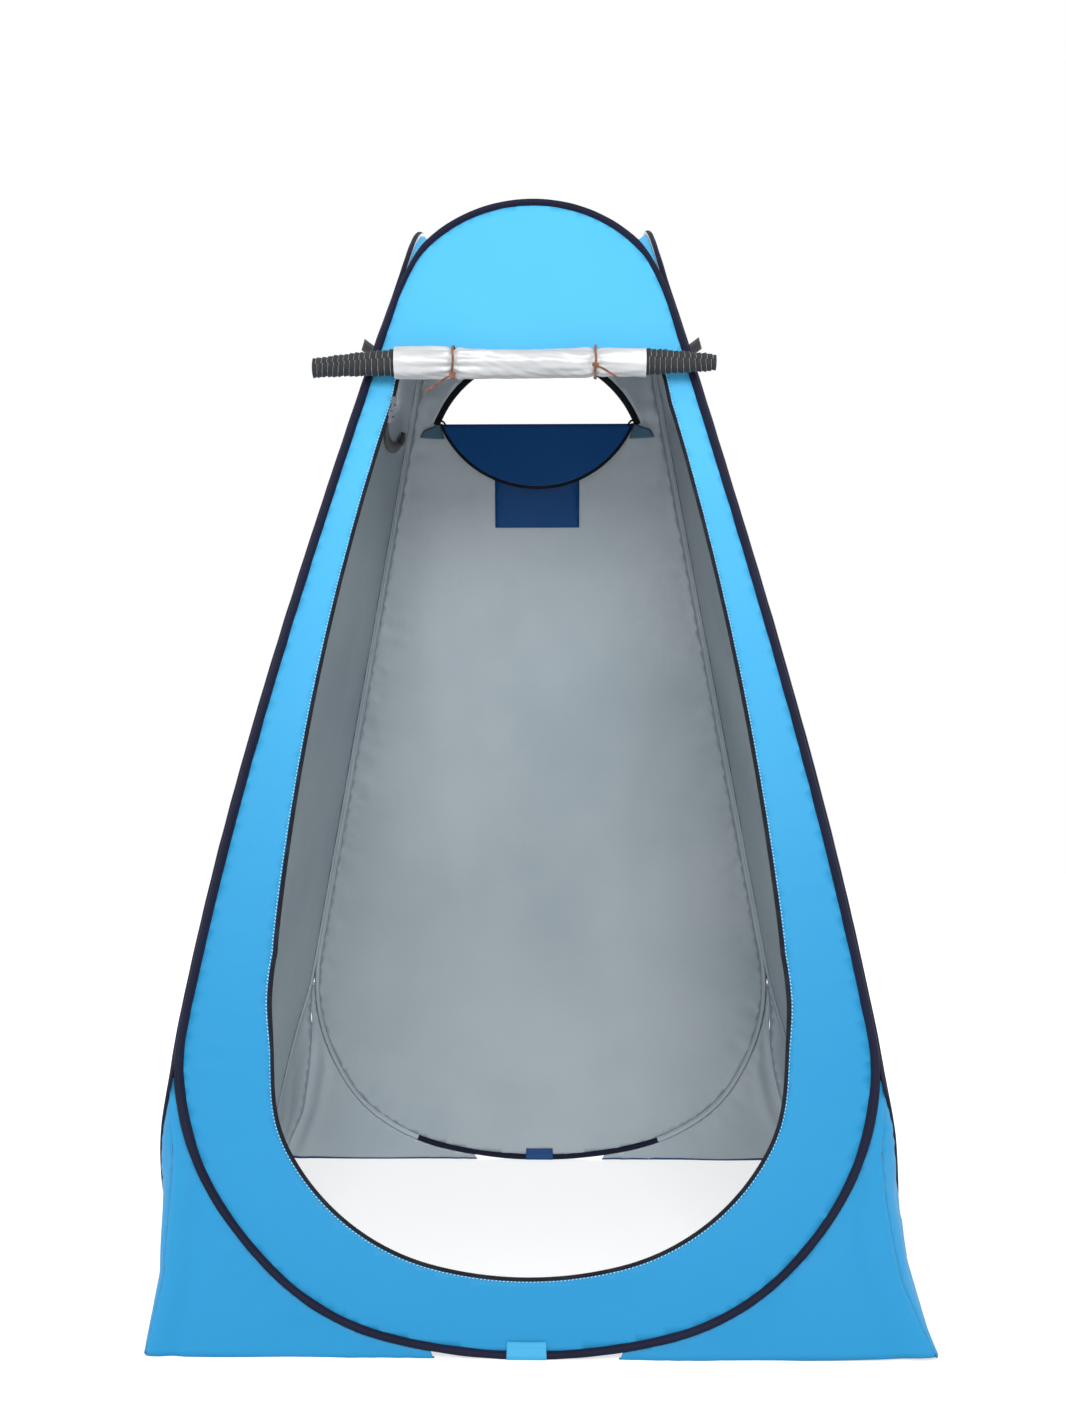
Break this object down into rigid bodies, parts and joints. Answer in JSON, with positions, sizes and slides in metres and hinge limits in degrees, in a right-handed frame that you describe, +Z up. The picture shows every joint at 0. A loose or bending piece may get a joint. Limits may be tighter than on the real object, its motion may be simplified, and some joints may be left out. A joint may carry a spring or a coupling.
{
  "type": "privacy shower tent",
  "caption": "Free-standing pop-up privacy tent: leaning hooped walls on a square plan, rolled-up front door, arched back window with a hanging flap and an inner pocket.",
  "frame": {"origin": "on the ground, at the middle of the square plan", "axes": "+Z up, -Y towards the front wall with the doorway, +X to the right as seen from the front"},
  "size_m": [1.2616, 1.2616, 1.8998],
  "materials": {
    "blue_cloth": "smooth polyester, blue outside and silver-coated inside",
    "sleeve_cloth": "navy binding cloth",
    "spring_steel": "drawn spring wire",
    "ferrule_metal": "crimped",
    "black_tape": "woven zip tape with coil teeth",
    "silver_cloth": "silver-coated polyester",
    "navy_cloth": "blue polyester seen in shade",
    "tie_cord": "braided cord",
    "webbing": "ribbed webbing",
    "buckle_plastic": "moulded",
    "slider_metal": "plated die casting"
  },
  "bodies": {
    "back_wall": {"back_hoop_wire": "spring_steel", "back_wire_ferrule": "ferrule_metal", "back_hoop_sleeve": "sleeve_cloth", "back_joint_tab": "blue_cloth", "back_wall_panel": "blue_cloth", "back_skirt_by_right": "blue_cloth", "back_skirt_by_left": "blue_cloth", "roof_cloth": "blue_cloth", "window_zip_tape": "black_tape", "inner_pocket": "navy_cloth"},
    "left_wall": {"left_hoop_wire": "spring_steel", "left_wire_ferrule": "ferrule_metal", "left_hoop_sleeve": "sleeve_cloth", "left_joint_tab": "blue_cloth", "left_wall_panel": "blue_cloth", "left_skirt_by_back": "blue_cloth", "left_skirt_by_front": "blue_cloth", "hanging_strap": "webbing", "strap_buckle": "buckle_plastic", "guy_loop_back_left": "webbing", "guy_loop_front_left": "webbing"},
    "right_wall": {"right_hoop_wire": "spring_steel", "right_wire_ferrule": "ferrule_metal", "right_hoop_sleeve": "sleeve_cloth", "right_joint_tab": "blue_cloth", "right_wall_panel": "blue_cloth", "right_skirt_by_front": "blue_cloth", "right_skirt_by_back": "blue_cloth", "guy_loop_front_right": "webbing", "guy_loop_back_right": "webbing"},
    "front_wall": {"front_hoop_wire": "spring_steel", "front_wire_ferrule": "ferrule_metal", "front_hoop_sleeve": "sleeve_cloth", "front_joint_tab": "blue_cloth", "front_wall_panel": "blue_cloth", "front_skirt_by_left": "blue_cloth", "front_skirt_by_right": "blue_cloth", "door_zip_tape": "black_tape", "door_roll": "silver_cloth", "door_zip_coil_left": "black_tape", "door_zip_coil_right": "black_tape", "roll_tie_left": "tie_cord", "roll_tie_right": "tie_cord"},
    "upper_slider": {"door_slider_upper": "slider_metal"},
    "lower_slider": {"door_slider_lower": "slider_metal"},
    "upper_pull": {"door_pull_upper": "slider_metal"},
    "lower_pull": {"door_pull_lower": "slider_metal"},
    "window_flap": {"window_flap": "navy_cloth", "window_flap_tape": "black_tape"}
  },
  "joints": [
    {"name": "left_wall_fold", "type": "hinge", "parent": "back_wall", "child": "left_wall", "pos_m": [-0.61845, 0.61845, 0], "axis": [0.2068, -0.2068, 0.9563], "range_deg": [0, 75], "stiffness_Nm_per_rad": 8, "springref_deg": -20.05, "deforming": ["roof_cloth"]},
    {"name": "right_wall_fold", "type": "hinge", "parent": "back_wall", "child": "right_wall", "pos_m": [0.625, 0.625, 0], "axis": [-0.2068, -0.2068, 0.9563], "range_deg": [0, 74]},
    {"name": "front_wall_fold", "type": "hinge", "parent": "left_wall", "child": "front_wall", "pos_m": [-0.625, -0.625, 0], "axis": [-0.2068, -0.2068, -0.9563], "range_deg": [0, 74]},
    {"name": "lower_slider_travel", "type": "slide", "parent": "front_wall", "child": "lower_slider", "axis": [-0.1736, -0.2081, -0.9626], "range_m": [0, 0.9]},
    {"name": "upper_slider_travel", "type": "slide", "parent": "front_wall", "child": "upper_slider", "axis": [-0.1736, -0.2081, -0.9626], "range_m": [0, 0.9]},
    {"name": "upper_pull_swing", "type": "hinge", "parent": "upper_slider", "child": "upper_pull", "pos_m": [-0.23422, -0.29932, 1.52764], "axis": [-0.9848, 0.0367, 0.1697], "range_deg": [0, 150]},
    {"name": "lower_pull_swing", "type": "hinge", "parent": "lower_slider", "child": "lower_pull", "pos_m": [-0.2381, -0.30397, 1.50613], "axis": [-0.9848, 0.0367, 0.1697], "range_deg": [0, 150]},
    {"name": "window_flap_swing", "type": "hinge", "parent": "back_wall", "child": "window_flap", "pos_m": [0, 0.27331, 1.59931], "axis": [-1, 0, 0], "range_deg": [0, 167]}
  ],
  "couplings": [
    {"joint": "right_wall_fold", "follows": "left_wall_fold", "ratio": 0.985},
    {"joint": "front_wall_fold", "follows": "left_wall_fold", "ratio": 0.985},
    {"joint": "upper_slider_travel", "follows": "lower_slider_travel", "ratio": 1}
  ]
}
